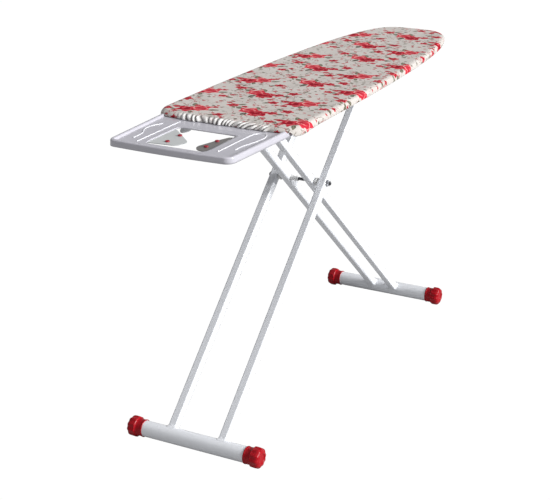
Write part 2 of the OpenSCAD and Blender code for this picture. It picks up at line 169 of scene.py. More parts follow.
def evenly(points, count, dense=1.0, within=0.0):
    """A closed polyline drawn again with count points at equal distances, or dense times closer
    together where they lie within a distance of its start."""
    ring = np.vstack([points, points[:1]])
    run = np.concatenate([[0], np.cumsum(np.linalg.norm(np.diff(ring, axis=0), axis=1))])
    fine = np.linspace(0, run[-1], 20000)
    weight = 1 + (dense - 1) * (1 - smooth(np.minimum(fine, run[-1] - fine), within, within + 0.02))
    share = np.concatenate([[0], np.cumsum((weight[1:] + weight[:-1]) / 2)])
    at = np.interp(np.arange(count) / count * share[-1], share, fine)
    return np.stack([np.interp(at, run, ring[:, k]) for k in range(ring.shape[1])], -1), at, run[-1]


def unit(vectors):
    return vectors / np.linalg.norm(vectors, axis=1)[:, None]


def outward_of(loop):
    """Unit normals of a closed loop, to its outer side. The loop runs clockwise seen from above."""
    along = unit(np.roll(loop, -2, 0) - np.roll(loop, 2, 0))
    return np.stack([-along[:, 1], along[:, 0]], -1)


def board_loop(count, dense=1.0):
    """Outline of the board from the middle of its tail, clockwise: tail, round corner, then
    y = half * (1 - u^p)^(1/q) with u running from the taper's start to the nose, and back."""
    start = math.asin(((TAIL_X + TAIL_R - TAPER_X) / (NOSE_X - TAPER_X)) ** (TAPER_POWER / 2))
    t = np.linspace(start, math.pi / 2, 900)
    side = np.stack([TAPER_X + (NOSE_X - TAPER_X) * np.sin(t) ** (2 / TAPER_POWER),
                     BOARD_HALF * np.clip(np.cos(t), 0, 1) ** (2 / NOSE_POWER)], -1)
    a = np.linspace(math.pi, math.pi / 2, 40)[:-1]
    corner = np.stack([TAIL_X + TAIL_R + TAIL_R * np.cos(a),
                       side[0, 1] - TAIL_R + TAIL_R * np.sin(a)], -1)
    half = np.vstack([[[TAIL_X, 0.0]], corner, side])
    loop, run, length = evenly(np.vstack([half, half[-2:0:-1] * [1, -1]]), count, dense, 0.15)
    return loop, outward_of(loop), run, length


def swept(path, section):
    """A closed section carried along an open level path, capped at both ends. Section is (k, 2) in
    the path's side and up directions."""
    along = unit(np.gradient(path, axis=0))
    side = unit(np.cross(along, (0.0, 0.0, 1.0)))
    top = np.cross(side, along)
    ring = path[:, None] + section[None, :, :1] * side[:, None] + section[None, :, 1:] * top[:, None]
    ends = np.repeat(ring[[0, -1]].mean(1, keepdims=True), len(section), axis=1)
    points = np.concatenate([ends[:1], ring, ends[1:]]).reshape(-1, 3)
    return points, grid_faces(len(path) + 2, len(section))


def spine_of(ring):
    """For each point of a ring, the nearest place on the board's middle line, clear of its ends."""
    return np.stack([np.clip(ring[:, 0], TAIL_X + 0.19, NOSE_X - 0.16), np.zeros(len(ring))], -1)


def denser(profile, count):
    """A profile drawn again with count points, spread evenly over its own points."""
    at = np.linspace(0, len(profile) - 1, count)
    return np.stack([np.interp(at, np.arange(len(profile)), profile[:, k]) for k in (0, 1)], -1)


def square_reach(x, y, half_x, half_y, power):
    """How far the unit direction (x, y) runs to a rectangle with round corners:
    |x / half_x|^power + |y / half_y|^power = 1."""
    return 1 / (np.abs(x / half_x) ** power + np.abs(y / half_y) ** power) ** (1 / power)


def rounded_line(knots, count):
    """A smooth curve through knots: Catmull-Rom, drawn with count points."""
    k = np.asarray(knots, float)
    k = np.vstack([2 * k[0] - k[1], k, 2 * k[-1] - k[-2]])
    t = np.linspace(0, len(k) - 3 - 1e-9, count)
    i = t.astype(int)
    f = (t - i)[:, None]
    a, b, c, d = k[i], k[i + 1], k[i + 2], k[i + 3]
    return 0.5 * (2 * b + (c - a) * f + (2 * a - 5 * b + 4 * c - d) * f ** 2
                  + (3 * b - a - 3 * c + d) * f ** 3)


# ---------------------------------------------------------------- shader helpers
class Wires:
    """Short words for adding nodes to one node tree."""

    def __init__(self, tree):
        self.tree = tree

    def node(self, kind, ins=None, **props):
        n = self.tree.nodes.new("ShaderNode" + kind)
        for key, value in props.items():
            setattr(n, key, value)
        for key, value in (ins or {}).items():
            self.put(n.inputs[key], value)
        return n

    def put(self, socket, value):
        if isinstance(value, bpy.types.NodeSocket):
            self.tree.links.new(value, socket)
        else:
            socket.default_value = value

    def math(self, op, a, b=0.0, c=0.0, clamp=False):
        n = self.node("Math", {0: a, 1: b, 2: c}, operation=op, use_clamp=clamp)
        return n.outputs[0]

    times = partialmethod(math, "MULTIPLY")
    plus = partialmethod(math, "ADD")
    minus = partialmethod(math, "SUBTRACT")
    over = partialmethod(math, "DIVIDE")
    line = partialmethod(math, "MULTIPLY_ADD")
    size = partialmethod(math, "ABSOLUTE")
    sine = partialmethod(math, "SINE")
    cosine = partialmethod(math, "COSINE")

    def vec(self, op, a, b):
        return self.node("VectorMath", {0: a, 1: b}, operation=op).outputs["Vector"]

    def shaken(self, vector, noise, reach):
        """The vector moved by up to half of reach along each axis, as a noise's colour says."""
        shift = self.vec("SUBTRACT", noise, (0.5, 0.5, 0.5))
        return self.vec("ADD", vector, self.vec("MULTIPLY", shift, (reach, reach, reach)))

    def mix(self, share, a, b):
        return self.node("Mix", {0: share, 6: a, 7: b}, data_type="RGBA").outputs[2]

    def between(self, value, lo, hi, out_lo=0.0, out_hi=1.0):
        return self.node("MapRange", {0: value, 1: lo, 2: hi, 3: out_lo, 4: out_hi},
                         interpolation_type="SMOOTHSTEP").outputs[0]

    def noise(self, vector, scale, detail=2.0, rough=0.5):
        ins = {"Vector": vector, "Scale": scale, "Detail": detail, "Roughness": rough}
        return self.node("TexNoise", ins).outputs

    def split(self, vector):
        return self.node("SeparateXYZ", {0: vector}).outputs

    def pack(self, x, y, z=0.0):
        return self.node("CombineXYZ", {0: x, 1: y, 2: z}).outputs[0]


def new_group(name, gives, **takes):
    """A shader node group with the outputs that gives names, and one input with its plain value for
    each further name. Vector and Local are vectors, and the rest are numbers."""
    tree = bpy.data.node_groups.new(name, "ShaderNodeTree")
    for way, labels in (("INPUT", takes), ("OUTPUT", gives)):
        for label in labels:
            kind = "NodeSocketVector" if label in ("Vector", "Local") else "NodeSocketFloat"
            socket = tree.interface.new_socket(name=label, in_out=way, socket_type=kind)
            if way == "INPUT":
                socket.default_value = takes[label]
    source = tree.nodes.new("NodeGroupInput").outputs
    sink = tree.nodes.new("NodeGroupOutput").inputs
    return Wires(tree), source, sink, tree


def use_group(w, tree, **ins):
    return w.node("Group", ins, node_tree=tree).outputs


def rgba(colour, share=1.0):
    """A colour times share, with full alpha."""
    return (*[c * share for c in colour], 1)


def new_material(name, **sockets):
    """A material with one Principled BSDF, whose plain values are given by name."""
    m = bpy.data.materials.new(name)
    m.use_nodes = True
    w = Wires(m.node_tree)
    shader = m.node_tree.nodes["Principled BSDF"]
    for key, value in sockets.items():
        shader.inputs[key.replace("_", " ")].default_value = value
    return m, w, shader


def wire_up(w, shader, colour, rough, height, distance, strength):
    """Gives a Principled BSDF its colour, its roughness and a bump from height."""
    relief = w.node("Bump", {"Height": height, "Distance": distance, "Strength": strength})
    for label, value in (("Base Color", colour), ("Roughness", rough), ("Normal", relief.outputs[0])):
        w.put(shader.inputs[label], value)


def object_coords(w):
    return w.node("TexCoord").outputs["Object"]


# ---------------------------------------------------------------- shared effects
def make_surface_group():
    """Fine orange-peel skin, patches of handling marks and rubbed streaks."""
    w, i, o, tree = new_group("surface_marks", ("Height", "Patch", "Scuff"), Vector=(0, 0, 0),
                              Skin=700.0, Patch=9.0)
    skin = w.noise(i["Vector"], i["Skin"], 2.0, 0.55)["Fac"]
    patch = w.noise(i["Vector"], i["Patch"], 4.0, 0.6)["Fac"]
    streak = w.noise(w.vec("MULTIPLY", i["Vector"], (1.0, 3.0, 0.35)), 120.0, 3.0, 0.7)["Fac"]
    w.put(o["Height"], skin)
    w.put(o["Patch"], w.between(patch, 0.35, 0.7))
    w.put(o["Scuff"], w.times(w.between(streak, 0.66, 0.74), w.between(patch, 0.45, 0.6)))
    return tree


def make_weave_group():
    """Plain weave: warp and weft threads pass over and under one another.
    Height is the higher of two sine ridges, whose signs swap from cell to cell."""
    w, i, o, tree = new_group("plain_weave", ("Height", "Gap"), Vector=(0, 0, 0), Thread=0.0005)
    x, y, _ = w.split(w.vec("DIVIDE", i["Vector"], w.pack(i["Thread"], i["Thread"], 1.0)))
    slub = w.times(w.noise(i["Vector"], 160.0)["Fac"], 0.6)
    x, y = w.times(w.plus(x, slub), math.pi), w.times(w.plus(y, slub), math.pi)
    over = w.size(w.times(w.sine(x), w.cosine(y)))
    under = w.size(w.times(w.sine(y), w.cosine(x)))
    w.put(o["Height"], w.math("MAXIMUM", over, under))
    w.put(o["Gap"], w.between(w.plus(over, under), 0.0, 0.5, 1.0, 0.0))
    return tree


def make_place_group():
    """Local place in the repeat of the print: columns 152.5 mm wide, every other one dropped by
    66 mm, and 285 mm from one motif to the next within a column."""
    w, i, o, tree = new_group("print_place", ("Local",), Vector=(0, 0, 0), X=0.0, Y=0.0)
    px, py, drop = 0.1525, 0.285, 0.066
    x, y, _ = w.split(i["Vector"])
    dx = w.minus(x, i["X"])
    column = w.math("FLOOR", w.plus(w.over(dx, px), 0.5))
    odd = w.math("FLOORED_MODULO", column, 2.0)
    dy = w.minus(w.minus(y, i["Y"]), w.times(odd, drop))
    row = w.math("FLOOR", w.plus(w.over(dy, py), 0.5))
    w.put(o["Local"], w.pack(w.minus(dx, w.times(column, px)), w.minus(dy, w.times(row, py)),
                             w.plus(column, w.times(row, 3.7))))
    return tree


def make_rose_group():
    """One printed bloom. Its edge is r = 0.84 + 0.14 cos(5 angle), roughened by noise, and its
    petals are the bands of sin(2 angle + 11 r)."""
    w, i, o, tree = new_group("print_rose", ("Mask", "Tone", "Line"), Local=(0, 0, 0), X=0.0, Y=0.0,
                              Radius=0.02, Turn=0.0, Stretch=1.0)
    x, y, _ = w.split(i["Local"])
    x = w.over(w.minus(x, i["X"]), i["Radius"])
    y = w.over(w.over(w.minus(y, i["Y"]), i["Radius"]), i["Stretch"])
    seed = w.pack(x, y, i["Turn"])
    rough = w.noise(seed, 1.7, 2.0, 0.5)["Color"]
    px, py, _ = w.split(w.shaken(w.pack(x, y), rough, 0.55))
    r = w.math("SQRT", w.plus(w.times(px, px), w.times(py, py)))
    angle = w.plus(w.math("ARCTAN2", py, px), i["Turn"])
    edge = w.line(w.cosine(w.times(angle, 5.0)), 0.14, 0.84)
    mask = w.between(w.minus(edge, r), -0.03, 0.05)
    swirl = w.sine(w.plus(w.times(angle, 2.0), w.times(r, 11.0)))
    w.put(o["Mask"], mask)
    w.put(o["Tone"], w.between(w.line(swirl, 0.3, r), 0.1, 1.1))
    w.put(o["Line"], w.times(w.between(swirl, 0.80, 0.97), w.between(r, 0.12, 0.5)))
    return tree


def make_leaf_group():
    """One printed leaf or twig: |y| < width * sin(pi x / length) in turned coordinates, bent by
    bend * x^2."""
    w, i, o, tree = new_group("print_leaf", ("Mask", "Vein"), Local=(0, 0, 0), X=0.0, Y=0.0, Turn=0.0,
                              Length=0.02, Width=0.006, Bend=0.0)
    x, y, _ = w.split(w.vec("SUBTRACT", i["Local"], w.pack(i["X"], i["Y"])))
    c, s = w.cosine(i["Turn"]), w.sine(i["Turn"])
    lx = w.plus(w.times(x, c), w.times(y, s))
    ly = w.minus(w.times(y, c), w.times(x, s))
    share = w.over(lx, i["Length"])
    bent = w.minus(ly, w.times(w.times(share, share), i["Bend"]))
    inside = w.times(w.math("GREATER_THAN", share, 0.0), w.math("LESS_THAN", share, 1.0))
    belly = w.times(w.sine(w.times(share, math.pi)), i["Width"])
    gap = w.over(w.minus(belly, w.size(bent)), i["Width"])
    w.put(o["Mask"], w.times(w.between(gap, 0.0, 0.15), inside))
    w.put(o["Vein"], w.between(w.size(bent), 0.0, 0.0009, 1.0, 0.0))
    return tree


# ---------------------------------------------------------------- materials
def cotton_print(cover):
    """Cotton with a repeating print of crimson and coral roses, buds, leaves and twigs.
    The pattern lies on the cloth's own flat coordinates, in metres."""
    m, w, shader = new_material("cotton_print", Sheen_Weight=0.02, Sheen_Roughness=0.5,
                                Specular_IOR_Level=0.05)
    flat = w.node("UVMap", uv_map="cloth").outputs[0]
    wobble = w.noise(flat, 55.0, 2.0, 0.5)["Color"]
    flat_rough = w.shaken(flat, wobble, 0.007)
    place, rose, leaf = make_place_group(), make_rose_group(), make_leaf_group()
    weave = use_group(w, make_weave_group(), Vector=flat, Thread=0.0005)

    # Middles of the motifs within one column of the repeat, in metres
    spots = {name: use_group(w, place, Vector=flat_rough, X=-0.090 + x, Y=0.112 + y)["Local"]
             for name, x, y in (("pair", 0, 0), ("spray", 0.037, -0.146), ("bud_a", 0.071, -0.068),
                                ("bud_b", 0.074, 0.068), ("bud_c", 0.134, -0.145), ("bud_d", 0.134, 0.0))}
    blooms = [  # motif, x, y and radius in mm, turn, stretch along y, deep crimson share
        ("pair", -7, 17, 20.5, 0.3, 1.15, 1), ("pair", 10, -15, 20, 1.9, 1.1, 0.15),
        ("spray", 9, 18, 20, 2.6, 1.15, 0.1), ("spray", -6, -12, 20.5, 0.9, 1.15, 0.9),
        ("spray", 8, -40, 8, 0.4, 2.4, 0.7), ("spray", -24, -14, 7.5, 1.2, 1.3, 0.6),
        ("pair", 1, 48, 7, 2.1, 1.7, 0.8), ("pair", 28, 8, 7, 0.2, 0.9, 0.6),
        ("bud_a", 0, 0, 11.5, 0.7, 1.2, 0.7), ("bud_b", 0, 0, 12, 1.4, 1.2, 0.8),
        ("bud_c", 0, 0, 10, 2.2, 1.3, 0.9), ("bud_d", 0, 0, 9.5, 0.1, 1.2, 0.7),
        ("bud_a", 18, 22, 5, 1.1, 1.6, 1), ("bud_b", -20, 26, 5, 0.5, 1.8, 0.9),
        ("bud_c", -18, -20, 4.5, 1.9, 1.5, 0.9), ("bud_d", 20, -18, 5, 2.4, 1.4, 1),
        ("pair", -34, 36, 6, 0.8, 1.5, 0.9), ("pair", 34, -40, 6, 2, 1.4, 0.9),
        ("spray", 32, 44, 5.8, 1.3, 1.6, 1), ("spray", -36, -44, 6, 0.3, 1.4, 0.8)]
    leaves = [  # motif, x and y in mm, turn, length, width and bend in mm, dark share
        ("pair", 2, 34, 1.45, 26, 6.2, 4, 0.9), ("pair", 18, 6, 0.7, 27, 5.8, -3, 0.3),
        ("pair", 4, -34, -1.2, 24, 5, 3, 0.5), ("pair", -18, -2, 3.5, 18, 4.5, 0, 0.6),
        ("spray", -10, 10, 2.8, 25, 6, 4, 1), ("spray", 20, 2, 0.4, 24, 5.5, 3, 0.4),
        ("spray", 12, 34, 1.3, 26, 5.6, -4, 0.5), ("spray", 6, -52, -1.5, 22, 4.8, 0, 0.9),
        ("bud_a", 4, -8, -1, 20, 4.4, 2, 0.6), ("bud_b", 4, 8, 1.2, 20, 4.6, 0, 0.5),
        ("bud_c", -4, 6, 2.2, 18, 4.2, 2, 0.8), ("bud_d", 2, -6, -2, 19, 4.4, 0, 0.6),
        ("bud_a", -22, -16, 0.8, 14, 3, 0, 0.4), ("bud_b", 24, -14, -0.7, 14, 3, 0, 0.4)]
    twigs = [  # motif, x and y in mm, turn, length, width and bend in mm
        ("pair", 12, 20, 0.9, 52, 1, 10), ("pair", -12, -20, -2.4, 50, 0.9, -9),
        ("spray", 14, -20, -0.6, 50, 1, 9), ("spray", -14, 24, 2.3, 52, 1, 10),
        ("bud_a", 0, 0, 0.9, 45, 0.8, -6), ("bud_b", 0, 0, -2.3, 45, 0.8, 7),
        ("bud_c", 0, 0, 2.6, 40, 0.8, 6), ("bud_d", 0, 0, -0.8, 40, 0.8, 6)]

    fade = w.between(w.noise(flat, 14.0, 3.0)["Fac"], 0.3, 0.7)
    ground = w.mix(fade, rgba(cover.ground_colour), rgba(cover.ground_colour, 0.95))
    colour = w.mix(w.times(weave["Gap"], 0.18), ground, (0.45, 0.42, 0.38, 1))
    # Fine stems: where a noise crosses its middle, kept in patches and tinted by a second noise
    vein = w.size(w.minus(w.noise(flat, 34.0, 2.0, 0.5)["Fac"], 0.5))
    patch = w.noise(w.vec("ADD", flat, (3.1, 7.7, 0.0)), 22.0, 2.0, 0.5)["Fac"]
    tint = w.mix(w.between(patch, 0.50, 0.58), (0.13, 0.105, 0.075, 1), (0.32, 0.03, 0.035, 1))
    stems = w.times(w.between(vein, 0.005, 0.020, 1.0, 0.0), w.between(patch, 0.42, 0.50))
    colour = w.mix(w.times(stems, 0.85), colour, tint)
    # Scattered small buds and leaflets: the middles of some cells of a random net
    squeezed = w.vec("MULTIPLY", flat_rough, (1.0, 0.75, 1.0))
    cell = w.node("TexVoronoi", {"Vector": squeezed, "Scale": 50.0}, voronoi_dimensions="2D").outputs
    pick, kind, _ = w.split(cell["Color"])
    bud = w.times(w.between(cell["Distance"], 0.14, 0.20, 1.0, 0.0), w.math("GREATER_THAN", pick, 0.42))
    tint = w.mix(w.math("GREATER_THAN", kind, 0.45), (0.10, 0.085, 0.055, 1), (0.42, 0.012, 0.022, 1))
    colour = w.mix(w.times(bud, 0.88), colour, tint)
    for spot, x, y, turn, length, width, bend in twigs:
        g = use_group(w, leaf, Local=spots[spot], X=x * MM, Y=y * MM, Turn=turn,
                      Length=length * MM, Width=width * MM, Bend=bend * MM)
        colour = w.mix(w.times(g["Mask"], 0.65), colour, (0.24, 0.17, 0.13, 1))
    grown = MM * cover.bloom
    olive, dark = rgba(cover.leaf_colour), rgba(cover.leaf_colour, 0.3)
    for spot, x, y, turn, length, width, bend, deep in leaves:
        g = use_group(w, leaf, Local=spots[spot], X=x * MM, Y=y * MM, Turn=turn,
                      Length=length * grown, Width=width * grown, Bend=bend * MM)
        shade = w.mix(deep, olive, dark)
        shade = w.mix(w.times(g["Vein"], 0.5), shade, (0.45, 0.42, 0.30, 1))
        colour = w.mix(w.times(g["Mask"], 0.92), colour, shade)
    maroon = rgba(cover.rose_colour, 0.55)
    crimson, coral = rgba(cover.rose_colour), rgba(cover.petal_colour)
    for spot, x, y, radius, turn, stretch, deep in blooms:
        g = use_group(w, rose, Local=spots[spot], X=x * MM, Y=y * MM, Radius=radius * grown,
                      Turn=turn, Stretch=stretch)
        share = w.line(g["Tone"], 0.5, 0.62 - 0.82 * deep, clamp=True)
        petal = w.mix(w.between(g["Tone"], 0.0, 0.6), maroon, crimson)
        petal = w.mix(share, petal, coral)
        petal = w.mix(w.times(g["Line"], 0.70 - 0.45 * deep), petal, (0.85, 0.55, 0.50, 1))
        colour = w.mix(g["Mask"], colour, petal)
    # Painted shade and highlight: near-black in the hollows between the gathers, and near-white over the
    # gathered cloth, which is partly paler stretched cloth.
    for name, most, tone in (("pale", 0.80, (0.90, 0.89, 0.88, 1)), ("fold", 0.85, (0.07, 0.055, 0.05, 1))):
        share = w.node("Attribute", attribute_name=name).outputs["Fac"]
        colour = w.mix(w.times(share, most), colour, tone)
    crease = w.noise(w.vec("MULTIPLY", flat, (1.0, 0.45, 1.0)), 26.0, 3.0, 0.5)["Fac"]
    height = w.plus(w.times(weave["Height"], 0.00012), w.times(crease, 0.0016))
    wire_up(w, shader, colour, w.line(fade, 0.08, 0.80), height, 1.0, 0.55)
    return m


def powder_coat(marks, colour):
    """White powder coat: fine skin, soft gloss, and scuffs that are stronger near the floor."""
    m, w, shader = new_material("powder_coat", Coat_Weight=0.35, Coat_Roughness=0.12,
                                Specular_IOR_Level=0.5)
    at = object_coords(w)
    g = use_group(w, marks, Vector=at, Skin=650.0, Patch=8.0)
    low = w.between(w.split(at)[2], 0.02, 0.22, 1.0, 0.0)
    base = w.mix(w.times(g["Patch"], 0.25), rgba(colour), rgba(colour, 0.93))
    base = w.mix(w.times(g["Scuff"], w.line(low, 0.35, 0.10)), base, (0.30, 0.30, 0.31, 1))
    wire_up(w, shader, base, w.line(g["Patch"], 0.12, 0.26), g["Height"], 0.00003, 0.06)
    return m


def zinc_plate(marks, name, colour, rough):
    """Zinc-plated or oiled steel: fine drawn lines, cloudy plating and small rubbed spots."""
    m, w, shader = new_material(name)
    at = object_coords(w)
    g = use_group(w, marks, Vector=at, Skin=900.0, Patch=60.0)
    lines = w.noise(w.vec("MULTIPLY", at, (40.0, 1.5, 40.0)), 45.0, 2.0, 0.5)["Fac"]
    base = w.mix(g["Patch"], rgba(colour), rgba(colour, 0.72))
    base = w.mix(w.times(g["Scuff"], 0.5), base, (0.75, 0.75, 0.76, 1))
    w.put(shader.inputs["Metallic"], w.line(g["Patch"], -0.08, 1.0))
    rough = w.plus(w.line(g["Patch"], 0.14, rough), w.times(lines, 0.08))
    wire_up(w, shader, base, rough, w.plus(lines, g["Height"]), 0.00004, 0.5)
    return m


def moulded(marks, name, colour, rough, coat, skin=450.0, depth=0.00005, shine=0.5):
    """Moulded plastic: faint mould grain, flow clouds and rubbed streaks of a slightly lighter colour."""
    m, w, shader = new_material(name, Coat_Weight=coat, Coat_Roughness=0.08, Specular_IOR_Level=shine)
    g = use_group(w, marks, Vector=object_coords(w), Skin=skin, Patch=22.0)
    base = w.mix(w.times(g["Patch"], 0.35), rgba(colour), rgba(colour, 0.82))
    base = w.mix(w.times(g["Scuff"], 0.22), base, (*[min(1.0, c * 1.5 + 0.06) for c in colour], 1))
    wire_up(w, shader, base, w.line(g["Patch"], 0.10, rough), g["Height"], depth, 0.6)
    return m


def felt_wool():
    """Grey-white needle felt: matted fibres as stretched noise in three directions."""
    m, w, shader = new_material("felt", Sheen_Weight=0.4, Specular_IOR_Level=0.1)
    at = object_coords(w)
    a = w.noise(w.vec("MULTIPLY", at, (6.0, 1.0, 2.0)), 260.0, 3.0, 0.6)["Fac"]
    b = w.noise(w.vec("MULTIPLY", at, (1.0, 6.0, 2.0)), 230.0, 3.0, 0.6)["Fac"]
    fibre = w.math("MAXIMUM", a, b)
    fleck = w.between(w.noise(at, 95.0, 2.0)["Fac"], 0.60, 0.68)
    base = w.mix(fibre, (0.42, 0.42, 0.41, 1), (0.70, 0.69, 0.67, 1))
    base = w.mix(w.times(fleck, 0.5), base, (0.22, 0.25, 0.32, 1))
    wire_up(w, shader, base, w.line(fibre, 0.1, 0.88), fibre, 0.0008, 0.8)
    return m


# ---------------------------------------------------------------- settings
def colour(name, description, default):
    return FloatVectorProperty(name=name, description=description, default=default, size=3,
                               min=0.0, max=1.0, subtype="COLOR")


def number(name, description, default, lo, hi, **more):
    return FloatProperty(name=name, description=description, default=default, min=lo, max=hi, **more)


def length(name, description, default, lo, hi):
    return number(name, description, default, lo, hi, unit="LENGTH", subtype="DISTANCE", precision=4)


class IroningCoverSettings(bpy.types.PropertyGroup):
    """Sizes and colours of the cover"""
    roll: length("Edge roll", "Width of the rounded edge of the padded top", 0.014, 0.004, 0.03)
    fold_pitch: length("Fold pitch", "Distance between two gathers over the tray", 0.0148, 0.006, 0.03)
    fold_depth: length("Fold depth", "How far the gathers over the tray stand out", 0.0085, 0.0, 0.012)
    pucker: length("Pucker", "Height of the small puckers along the turned-in hem", 0.0016, 0.0, 0.004)
    bloom: number("Bloom size", "Size of the printed flowers and leaves", 1.28, 0.5, 2.0)
    ground_colour: colour("Ground", "Colour of the unprinted cotton", (0.56, 0.525, 0.495))
    rose_colour: colour("Rose", "Colour of the deep petals", (0.45, 0.003, 0.022))
    petal_colour: colour("Petal", "Colour of the light petals", (0.61, 0.045, 0.068))
    leaf_colour: colour("Leaf", "Colour of the light leaves", (0.17, 0.16, 0.10))


class IroningTraySettings(bpy.types.PropertyGroup):
    """Sizes and colours of the iron tray"""
    wall: length("Wall", "Thickness of the moulded tray", 0.0025, 0.001, 0.004)
    line_width: length("Line width", "Width of the raised lines on the tray floor", 0.0030, 0.001, 0.008)
    line_height: length("Line height", "Height of the raised lines on the tray floor", 0.0014, 0.0003, 0.003)
    tray_colour: colour("Tray", "Colour of the moulded tray", (0.51, 0.50, 0.55))
    # Painted highlight: a lighter copy of the tray colour stands in for the lit crests of the raised lines.
    line_highlight_colour: colour("Lines", "Colour of the raised lines", (0.74, 0.74, 0.78))
    stud_colour: colour("Studs", "Colour of the heat-proof studs", (0.30, 0.004, 0.02))


class IroningFrameSettings(bpy.types.PropertyGroup):
    """Sizes and colours of the legs, feet and fittings"""
    lobes: IntProperty(name="Cap lobes", description="Number of lobes round a foot cap", default=10,
                       min=4, max=24)
    lobe_depth: length("Lobe depth", "Depth of the hollows between two lobes", 0.0016, 0.0, 0.005)
    weld: length("Weld", "Width of the weld where a leg meets its foot bar", 0.005, 0.001, 0.01)
    white: colour("Powder coat", "Colour of the legs and foot bars", (0.77, 0.785, 0.82))
    cap_colour: colour("Foot caps", "Colour of the foot caps", (0.34, 0.001, 0.007))


class IroningStageSettings(bpy.types.PropertyGroup):
    """Floor, lights and camera"""
    floor_colour: colour("Floor", "Colour of the floor", (0.50, 0.50, 0.50))
    sky: number("Sky", "Strength of the even light", 0.30, 0.0, 5.0)
    key_power: number("Key light", "Strength of the main light", 4.7, 0.0, 20.0)
    lens: number("Lens", "Focal length on a 36 mm sensor", 89.20, 10.0, 300.0, unit="CAMERA")


# ---------------------------------------------------------------- shapes
def cover_shape(s):
    """The cover as rings round the outline.
    Top: spine + share * (ring - spine). Edge: a quarter ellipse, a short side and a turned-in hem
    that ends in an elastic casing. Over the tray the side lands on the tray floor in deep gathers:
    outward move = depth * |sin(pi run / pitch)|^0.6, with crests that also lift the top's edge.
    Returns points, faces, flat places, a painted shade for the gather hollows, and a whitening that is part
    paler cloth and part painted highlight."""
    cols, top_rows, land_rows = 940, 24, 15
    tail_density = 3.6
    loop, out, run, run_length = board_loop(cols, tail_density)
    signed = np.where(run > run_length / 2, run - run_length, run)
    y = loop[:, 1]
    over_tray = 1 - smooth(np.abs(y), TRAY_HALF_IN - 0.0005, TRAY_HALF_IN + 0.0085)
    over_tray *= 1 - smooth(loop[:, 0], TAIL_X + 0.02, TAIL_X + 0.04)
    corner = np.hypot(loop[:, 0] - TAIL_X - 0.030, np.abs(y) - 0.178)
    sag_depth, sag_reach = 0.0040, 0.055
    sag = sag_depth * np.exp(-(corner / sag_reach) ** 2)

    roll, drop = s.roll, 0.0085
    turn = np.linspace(0, math.pi / 2, 10)
    edge_e = np.concatenate([-roll + roll * np.sin(turn), [0.0, 0.0]])
    edge_z = np.concatenate([TOP_Z - drop * (1 - np.cos(turn)), [TOP_Z - 0.011, TOP_Z - 0.0135]])
    under = np.linspace(0, math.pi / 2, 6)[1:]
    casing = np.linspace(-math.pi / 2, math.pi * 1.1, 9)[1:]
    turn_w, turn_h, hem_w, casing_r = 0.0035, 0.0040, 0.0195, 0.0021
    side_e = np.concatenate([edge_e, -turn_w * (1 - np.cos(under)), [-0.008, -0.013, -0.018],
                             -hem_w - casing_r * np.cos(casing)])
    side_z = np.concatenate([edge_z, HEM_Z + turn_h * (1 - np.sin(under)), [HEM_Z + 0.0002] * 3,
                             HEM_Z + casing_r + casing_r * np.sin(casing)])
    rows = len(side_e)
    # Over the tray: the roll lands on the tray floor, then tucks back under
    quarter = np.linspace(0, math.pi / 2, land_rows)
    cloth_gap = 0.0012
    land_z = TRAY_FLOOR_Z + cloth_gap
    tail_e = np.concatenate([-roll + (roll + 0.0010) * np.sin(quarter) ** 1.15,
                             np.linspace(0.0008, -0.010, rows - land_rows)])
    tail_z = np.concatenate([TOP_Z - (TOP_Z - land_z) * (1 - np.cos(quarter)) ** 1.1,
                             np.full(rows - land_rows, land_z)])
    e = side_e[:, None] * (1 - over_tray) + tail_e[:, None] * over_tray
    z = side_z[:, None] * (1 - over_tray) + tail_z[:, None] * over_tray

    # Gathers over the tray, with uneven spacing, leaning towards the middle
    down = np.linspace(0, 1, rows)[:, None]
    face = smooth(down, -0.10, 0.22) * (1 - 0.7 * smooth(down, 0.52, 0.66))
    warp = 0.0035 * np.sin(signed * 61.0 + 0.7) + 0.0022 * np.sin(signed * 143.0 + 2.1)
    slant = 0.010 * np.sin(signed * 31.0) + np.where(y < 0, 0.046, 0.020) * y / BOARD_HALF
    phase = np.pi * (signed[None] + warp[None] + slant[None] * down * 1.6) / s.fold_pitch
    ridge = np.abs(np.sin(phase)) ** 0.6
    size = 0.80 + 0.25 * np.sin(signed * 87.0 + 1.0) + 0.18 * np.sin(signed * 201.0)
    strength = (1 - smooth(np.abs(y), 0.112, 0.134)) * over_tray * size
    e = e + s.fold_depth * ridge * face * strength
    lift = smooth(down, -0.10, 0.10) * (1 - smooth(down, 0.25, 0.50))
    z = z + 0.0030 * (ridge - 0.75) * lift * strength
    # Painted shade: the hollows between the gathers, darkened later in the cotton's colour.
    painted_valley_shade = smooth(1 - ridge, 0.14, 0.60) * smooth(down, -0.10, 0.12) * np.clip(strength, 0, 1)
    # Whitening of the gathered cloth in the cotton's colour: partly paler stretched cloth, partly a painted
    # highlight.
    pale = smooth(down, -0.02, 0.16) * np.clip(strength * 1.3, 0, 1)

    # The tail corners bulge and hang a little lower
    side = smooth(down, 0.10, 0.40)
    e = e + sag * side * (1 - 0.8 * smooth(down, 0.6, 0.8))
    z = z - sag * side * (1 - over_tray)

    # Puckers along the hem, stronger where the outline turns
    span = np.mod(np.roll(run, -6) - np.roll(run, 6), run_length)
    bend = np.linalg.norm(np.roll(out, -6, 0) - np.roll(out, 6, 0), axis=1) / span
    tight = 0.35 + 0.65 * smooth(bend, 1.5, 9.0)
    pull = np.sin(run * 2 * math.pi / 0.021 + 1.7 * np.sin(run * 23.0)) + 0.6 * np.sin(
        run * 2 * math.pi / 0.0131 + 2.3 * np.sin(run * 17.0) + 1.3)
    pull = s.pucker * pull * tight * (1 - over_tray)
    hem = smooth(down, 0.30, 0.62) * (1 - 0.6 * smooth(down, 0.7, 0.8))
    e = e + 0.45 * pull * hem
    z = z + 0.40 * pull * smooth(down, 0.55, 0.8)

